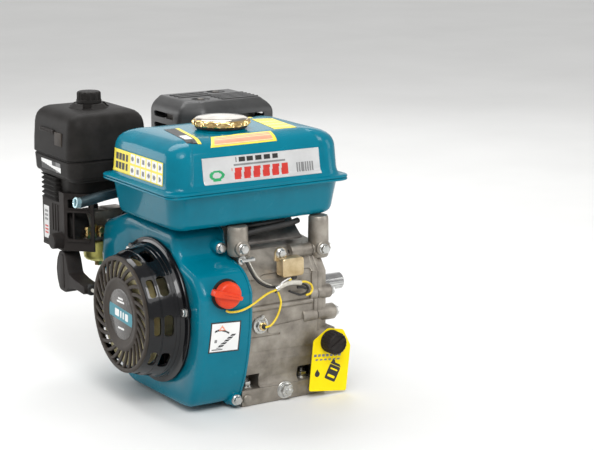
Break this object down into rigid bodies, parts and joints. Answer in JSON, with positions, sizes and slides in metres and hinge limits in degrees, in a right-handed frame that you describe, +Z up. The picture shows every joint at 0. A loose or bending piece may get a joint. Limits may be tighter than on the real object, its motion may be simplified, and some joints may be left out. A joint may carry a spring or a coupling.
{
  "type": "small gasoline engine",
  "caption": "Small air-cooled four-stroke gasoline engine with a horizontal shaft, inclined cylinder, recoil starter, top fuel tank, air cleaner and guarded muffler.",
  "frame": {"origin": "on the flat underside of the crankcase, under the crankshaft axis, at the cylinder's mid-plane", "axes": "+X along the crankshaft towards the driven end, +Y towards the cylinder, +Z up"},
  "size_m": [0.313, 0.349, 0.339],
  "materials": {
    "teal_paint": "gloss enamel on pressed steel",
    "cast_aluminium": "die cast, satin",
    "forged_steel": "machined and forged steel",
    "zinc_steel": "bright zinc plate",
    "yellow_zinc": "yellow zinc plate",
    "black_paint": "satin black enamel on pressed steel",
    "gloss_black_plastic": "gloss",
    "black_plastic": "fine grain, satin",
    "grille_plastic": "fine grain, matt",
    "red_plastic": "semi-gloss",
    "yellow_plastic": "semi-gloss",
    "black_rubber": "matt",
    "filter_foam": "oiled foam",
    "cap_chrome": "bright plate with a warm tint",
    "ceramic": "glazed",
    "rope_fibre": "braided nylon"
  },
  "bodies": {
    "root": {"crankcase": "cast_aluminium", "crankcase_side_cover": "cast_aluminium", "cylinder_head": "cast_aluminium", "valve_cover": "zinc_steel", "spark_plug": "ceramic", "spark_plug_lead": "black_rubber", "ignition_coil": "black_plastic", "blower_housing": "teal_paint", "recoil_can": "gloss_black_plastic", "recoil_grille": "grille_plastic", "tank_upper_shell": "teal_paint", "tank_lower_shell": "teal_paint", "fuel_hose": "black_rubber", "intake_insulator": "black_plastic", "carburettor_body": "cast_aluminium", "float_bowl": "yellow_zinc", "air_duct": "black_plastic", "carburettor_guard": "black_plastic", "air_cleaner_base": "black_plastic", "air_filter_element": "filter_foam", "air_cleaner_cover": "black_plastic", "muffler_body": "forged_steel", "muffler_guard": "black_paint", "engine_switch": "black_plastic", "oil_alert_unit": "yellow_zinc", "oil_level_switch": "zinc_steel", "control_base": "zinc_steel", "flywheel_side_bearing": "zinc_steel", "pto_side_bearing": "zinc_steel", "oil_drain_bolt": "zinc_steel", "switch_wire": "yellow_plastic", "level_wire": "yellow_plastic", "earth_wire": "black_rubber", "oil_tag": "yellow_plastic", "starter_rope": "rope_fibre"},
    "crankshaft": {"crankshaft_pto_half": "forged_steel", "crankshaft_flywheel_half": "forged_steel", "flywheel": "cast_aluminium", "cooling_fan": "black_plastic", "starter_cup": "zinc_steel", "flywheel_nut": "zinc_steel"},
    "camshaft": {"camshaft": "forged_steel"},
    "piston_group": {"piston": "cast_aluminium", "piston_pin": "forged_steel", "connecting_rod": "cast_aluminium", "crank_pin": "forged_steel"},
    "reel": {"recoil_reel": "black_plastic"},
    "handle": {"starter_handle": "black_plastic"},
    "cap_gasket": {"fuel_cap_gasket": "black_rubber"},
    "cap": {"fuel_cap": "cap_chrome"},
    "throttle": {"throttle_lever": "forged_steel"},
    "choke": {"choke_lever": "black_plastic"},
    "fuel_cock": {"fuel_cock_lever": "black_plastic"},
    "engine_switch_knob": {"switch_knob": "red_plastic"},
    "oil_cap": {"oil_filler_cap": "black_plastic"},
    "cleaner_knob": {"air_cleaner_knob": "black_plastic"},
    "intake_rocker": {"intake_rocker_arm": "forged_steel"},
    "exhaust_rocker": {"exhaust_rocker_arm": "forged_steel"},
    "intake_valve_body": {"intake_valve": "forged_steel"},
    "exhaust_valve_body": {"exhaust_valve": "forged_steel"}
  },
  "joints": [
    {"name": "crank_spin", "type": "hinge", "parent": "root", "child": "crankshaft", "pos_m": [0, 0, 0.106], "axis": [1, 0, 0], "continuous": true},
    {"name": "cam_spin", "type": "hinge", "parent": "root", "child": "camshaft", "pos_m": [0, 0.02282, 0.05706], "axis": [1, 0, 0], "continuous": true},
    {"name": "piston_stroke", "type": "slide", "parent": "root", "child": "piston_group", "axis": [0, 0.9063, 0.4226], "range_m": [-0.055, 0]},
    {"name": "rope_pull", "type": "slide", "parent": "root", "child": "handle", "axis": [0, 1, 0], "range_m": [0, 0.8], "stiffness_N_per_m": 15, "springref_m": -0.2},
    {"name": "reel_spin", "type": "hinge", "parent": "root", "child": "reel", "pos_m": [0, 0, 0.106], "axis": [1, 0, 0], "range_deg": [0, 1095]},
    {"name": "cap_lift", "type": "slide", "parent": "root", "child": "cap_gasket", "axis": [0, 0, 1], "range_m": [0, 0.06]},
    {"name": "cap_turn", "type": "hinge", "parent": "cap_gasket", "child": "cap", "pos_m": [-0.0305, -0.008, 0.3113], "axis": [0, 0, 1], "range_deg": [0, 90]},
    {"name": "throttle_turn", "type": "hinge", "parent": "root", "child": "throttle", "pos_m": [-0.076, 0.09, 0.226], "axis": [0, 0, -1], "range_deg": [0, 20]},
    {"name": "choke_turn", "type": "hinge", "parent": "root", "child": "choke", "pos_m": [-0.112, 0.162, 0.196], "axis": [0, 0, -1], "range_deg": [0, 60]},
    {"name": "fuel_cock_turn", "type": "hinge", "parent": "root", "child": "fuel_cock", "pos_m": [-0.088, 0.178, 0.176], "axis": [0, -1, 0], "range_deg": [0, 80]},
    {"name": "switch_turn", "type": "hinge", "parent": "root", "child": "engine_switch_knob", "pos_m": [-0.086, -0.118, 0.144], "axis": [0, -1, 0], "range_deg": [0, 60]},
    {"name": "oil_cap_pull", "type": "slide", "parent": "root", "child": "oil_cap", "axis": [0, -1, 0], "range_m": [0, 0.05]},
    {"name": "cleaner_knob_turn", "type": "hinge", "parent": "root", "child": "cleaner_knob", "pos_m": [-0.117, 0.156, 0.32], "axis": [0, 0, 1], "range_deg": [0, 720]},
    {"name": "intake_rocker_swing", "type": "hinge", "parent": "root", "child": "intake_rocker", "pos_m": [-0.017, 0.18971, 0.1724], "axis": [1, 0, 0], "range_deg": [0, 12], "stiffness_Nm_per_rad": 2},
    {"name": "intake_valve_lift", "type": "slide", "parent": "root", "child": "intake_valve_body", "axis": [0, -0.9063, -0.4226], "range_m": [0, 0.0051]},
    {"name": "exhaust_rocker_swing", "type": "hinge", "parent": "root", "child": "exhaust_rocker", "pos_m": [0.017, 0.18971, 0.1724], "axis": [1, 0, 0], "range_deg": [0, 12], "stiffness_Nm_per_rad": 2},
    {"name": "exhaust_valve_lift", "type": "slide", "parent": "root", "child": "exhaust_valve_body", "axis": [0, -0.9063, -0.4226], "range_m": [0, 0.0051]}
  ],
  "couplings": [
    {"joint": "cam_spin", "follows": "crank_spin", "ratio": -0.5},
    {"joint": "reel_spin", "follows": "rope_pull", "rad_per_m": 23.8},
    {"joint": "intake_valve_lift", "follows": "intake_rocker_swing", "m_per_rad": 0.024},
    {"joint": "exhaust_valve_lift", "follows": "exhaust_rocker_swing", "m_per_rad": 0.024}
  ]
}
